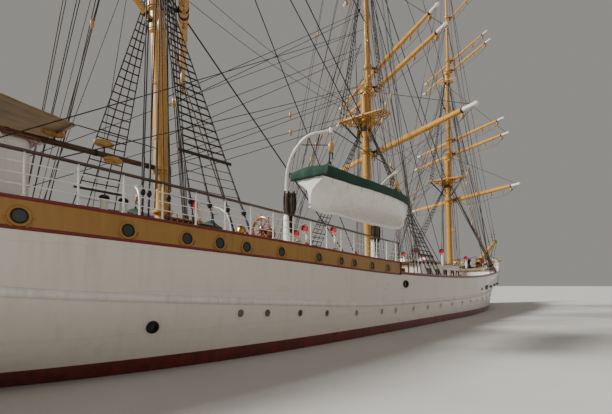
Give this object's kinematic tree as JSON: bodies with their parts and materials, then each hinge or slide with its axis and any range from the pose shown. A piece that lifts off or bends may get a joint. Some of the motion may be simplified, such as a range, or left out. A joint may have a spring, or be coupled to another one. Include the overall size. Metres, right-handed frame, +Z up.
{
  "type": "full-rigged three-masted training ship with bare yards, scale model at 1:2",
  "caption": "Full-rigged three-masted ship afloat with bare braced yards, white hull, ochre quarterdeck strake and spars, boats in davits and an awning aft. Scale model at half size.",
  "frame": {"origin": "on the waterline, amidships, on the centreline", "axes": "+X forward, +Y to port, +Z up"},
  "size_m": [32.9677, 7.993, 25.3002],
  "materials": {
    "white_paint": "gloss white enamel on steel plate",
    "ochre_paint": "golden ochre enamel on steel spars",
    "teak": "varnished teak",
    "decking": "scrubbed teak planking",
    "wire": "tarred and served wire rigging",
    "iron": "dark painted iron",
    "bronze": "polished brass and bronze",
    "canvas": "beige awning canvas",
    "boat_cover": "dark green cover canvas",
    "boat_paint": "white gelcoat"
  },
  "bodies": {
    "root": {"hull": "white_paint", "deck_quarter": "decking", "deck_main": "decking", "deck_forecastle": "decking", "rail_quarterdeck_starboard": "teak", "rail_quarterdeck_port": "teak", "rail_forecastle_starboard": "teak", "rail_forecastle_port": "teak", "bowsprit": "ochre_paint", "chart_house": "white_paint", "deck_house": "white_paint", "wheel_stand": "teak", "binnacle": "bronze", "anchor_starboard": "iron", "anchor_port": "iron", "mizzen_lower_mast": "ochre_paint", "mizzen_upper_mast": "ochre_paint", "main_lower_mast": "ochre_paint", "main_upper_mast": "ochre_paint", "fore_lower_mast": "ochre_paint", "fore_upper_mast": "ochre_paint", "mizzen_lower_rigging": "wire", "mizzen_upper_rigging": "wire", "main_lower_rigging": "wire", "main_upper_rigging": "wire", "fore_lower_rigging": "wire", "fore_upper_rigging": "wire", "davits_starboard": "white_paint", "boat_starboard": "boat_paint", "boat_cover_starboard": "boat_cover", "davits_port": "white_paint", "boat_port": "boat_paint", "boat_cover_port": "boat_cover", "awning": "canvas", "awning_frame": "teak"},
    "fore_course_yard": {"fore_course_yard": "ochre_paint"},
    "fore_lower_topsail_yard": {"fore_lower_topsail_yard": "ochre_paint"},
    "fore_upper_topsail_yard": {"fore_upper_topsail_yard": "ochre_paint"},
    "fore_lower_topgallant_yard": {"fore_lower_topgallant_yard": "ochre_paint"},
    "fore_upper_topgallant_yard": {"fore_upper_topgallant_yard": "ochre_paint"},
    "fore_royal_yard": {"fore_royal_yard": "ochre_paint"},
    "main_course_yard": {"main_course_yard": "ochre_paint"},
    "main_lower_topsail_yard": {"main_lower_topsail_yard": "ochre_paint"},
    "main_upper_topsail_yard": {"main_upper_topsail_yard": "ochre_paint"},
    "main_lower_topgallant_yard": {"main_lower_topgallant_yard": "ochre_paint"},
    "main_upper_topgallant_yard": {"main_upper_topgallant_yard": "ochre_paint"},
    "main_royal_yard": {"main_royal_yard": "ochre_paint"},
    "mizzen_crossjack_yard": {"mizzen_crossjack_yard": "ochre_paint"},
    "mizzen_lower_topsail_yard": {"mizzen_lower_topsail_yard": "ochre_paint"},
    "mizzen_upper_topsail_yard": {"mizzen_upper_topsail_yard": "ochre_paint"},
    "mizzen_topgallant_yard": {"mizzen_topgallant_yard": "ochre_paint"},
    "mizzen_royal_yard": {"mizzen_royal_yard": "ochre_paint"},
    "boom": {"boom": "teak"},
    "gaff": {"gaff": "ochre_paint"},
    "rudder": {"rudder": "white_paint"},
    "propeller": {"propeller": "bronze"},
    "wheel": {"wheel": "teak"},
    "capstan": {"capstan": "iron"},
    "chart_house_door": {"chart_house_door": "teak"},
    "deck_house_door": {"deck_house_door": "teak"}
  },
  "joints": [
    {"name": "brace_fore_course", "type": "hinge", "parent": "root", "child": "fore_course_yard", "pos_m": [8.01791, 0, 5.54472], "axis": [-0.0436, 0, 0.999], "range_deg": [-7, 73]},
    {"name": "brace_fore_lower_topsail", "type": "hinge", "parent": "root", "child": "fore_lower_topsail_yard", "pos_m": [8.18469, 0, 8.02936], "axis": [-0.0436, 0, 0.999], "range_deg": [-9, 71]},
    {"name": "brace_fore_upper_topsail", "type": "hinge", "parent": "root", "child": "fore_upper_topsail_yard", "pos_m": [8.15307, 0, 8.75367], "axis": [-0.0436, 0, 0.999], "range_deg": [-8, 72]},
    {"name": "brace_fore_lower_topgallant", "type": "hinge", "parent": "root", "child": "fore_lower_topgallant_yard", "pos_m": [8.1904, 0, 12.48385], "axis": [-0.0436, 0, 0.999], "range_deg": [-2, 78]},
    {"name": "brace_fore_upper_topgallant", "type": "hinge", "parent": "root", "child": "fore_upper_topgallant_yard", "pos_m": [8.16859, 0, 12.98337], "axis": [-0.0436, 0, 0.999], "range_deg": [-2, 78]},
    {"name": "brace_fore_royal", "type": "hinge", "parent": "root", "child": "fore_royal_yard", "pos_m": [8.06935, 0, 15.2562], "axis": [-0.0436, 0, 0.999], "range_deg": [0, 80]},
    {"name": "brace_main_course", "type": "hinge", "parent": "root", "child": "main_course_yard", "pos_m": [-0.49517, 0, 5.84443], "axis": [-0.0436, 0, 0.999], "range_deg": [-12, 68]},
    {"name": "brace_main_lower_topsail", "type": "hinge", "parent": "root", "child": "main_lower_topsail_yard", "pos_m": [-0.32403, 0, 8.22917], "axis": [-0.0436, 0, 0.999], "range_deg": [-6, 74]},
    {"name": "brace_main_upper_topsail", "type": "hinge", "parent": "root", "child": "main_upper_topsail_yard", "pos_m": [-0.35347, 0, 8.90353], "axis": [-0.0436, 0, 0.999], "range_deg": [-5, 75]},
    {"name": "brace_main_lower_topgallant", "type": "hinge", "parent": "root", "child": "main_lower_topgallant_yard", "pos_m": [-0.3445, 0, 13.28308], "axis": [-0.0436, 0, 0.999], "range_deg": [-3, 77]},
    {"name": "brace_main_upper_topgallant", "type": "hinge", "parent": "root", "child": "main_upper_topgallant_yard", "pos_m": [-0.36849, 0, 13.83256], "axis": [-0.0436, 0, 0.999], "range_deg": [-2, 78]},
    {"name": "brace_main_royal", "type": "hinge", "parent": "root", "child": "main_royal_yard", "pos_m": [-0.47427, 0, 16.25525], "axis": [-0.0436, 0, 0.999], "range_deg": [0, 80]},
    {"name": "brace_mizzen_crossjack", "type": "hinge", "parent": "root", "child": "mizzen_crossjack_yard", "pos_m": [-8.56962, 0, 6.51879], "axis": [-0.0436, 0, 0.999], "range_deg": [-6, 74]},
    {"name": "brace_mizzen_lower_topsail", "type": "hinge", "parent": "root", "child": "mizzen_lower_topsail_yard", "pos_m": [-8.38321, 0, 8.55386], "axis": [-0.0436, 0, 0.999], "range_deg": [-6, 74]},
    {"name": "brace_mizzen_upper_topsail", "type": "hinge", "parent": "root", "child": "mizzen_upper_topsail_yard", "pos_m": [-8.40938, 0, 9.15329], "axis": [-0.0436, 0, 0.999], "range_deg": [-5, 75]},
    {"name": "brace_mizzen_topgallant", "type": "hinge", "parent": "root", "child": "mizzen_topgallant_yard", "pos_m": [-8.36006, 0, 12.60873], "axis": [-0.0436, 0, 0.999], "range_deg": [-3, 77]},
    {"name": "brace_mizzen_royal", "type": "hinge", "parent": "root", "child": "mizzen_royal_yard", "pos_m": [-8.45166, 0, 14.70673], "axis": [-0.0436, 0, 0.999], "range_deg": [-2, 78]},
    {"name": "boom_swing", "type": "hinge", "parent": "root", "child": "boom", "pos_m": [-8.43221, 0, 3.37179], "axis": [-0.0436, 0, 0.999], "range_deg": [-50, 50]},
    {"name": "gaff_swing", "type": "hinge", "parent": "root", "child": "gaff", "pos_m": [-8.55108, 0, 6.09419], "axis": [-0.0436, 0, 0.999], "range_deg": [-50, 50]},
    {"name": "rudder_swing", "type": "hinge", "parent": "root", "child": "rudder", "pos_m": [-12.35, 0, -1.1], "axis": [0, 0, 1], "range_deg": [-35, 35]},
    {"name": "propeller_spin", "type": "hinge", "parent": "root", "child": "propeller", "pos_m": [-11.75, 0, -1.55], "axis": [1, 0, 0], "continuous": true},
    {"name": "wheel_turn", "type": "hinge", "parent": "root", "child": "wheel", "pos_m": [-5.7, 0, 2.5], "axis": [1, 0, 0], "continuous": true},
    {"name": "capstan_turn", "type": "hinge", "parent": "root", "child": "capstan", "pos_m": [11.2, 0, 2.5], "axis": [0, 0, 1], "continuous": true},
    {"name": "chart_house_door_swing", "type": "hinge", "parent": "root", "child": "chart_house_door", "pos_m": [-10.9, 0.175, 2.5], "axis": [0, 0, -1], "range_deg": [0, 100]},
    {"name": "deck_house_door_swing", "type": "hinge", "parent": "root", "child": "deck_house_door", "pos_m": [1.6, -0.6, 1.3], "axis": [0, 0, 1], "range_deg": [0, 100]}
  ]
}
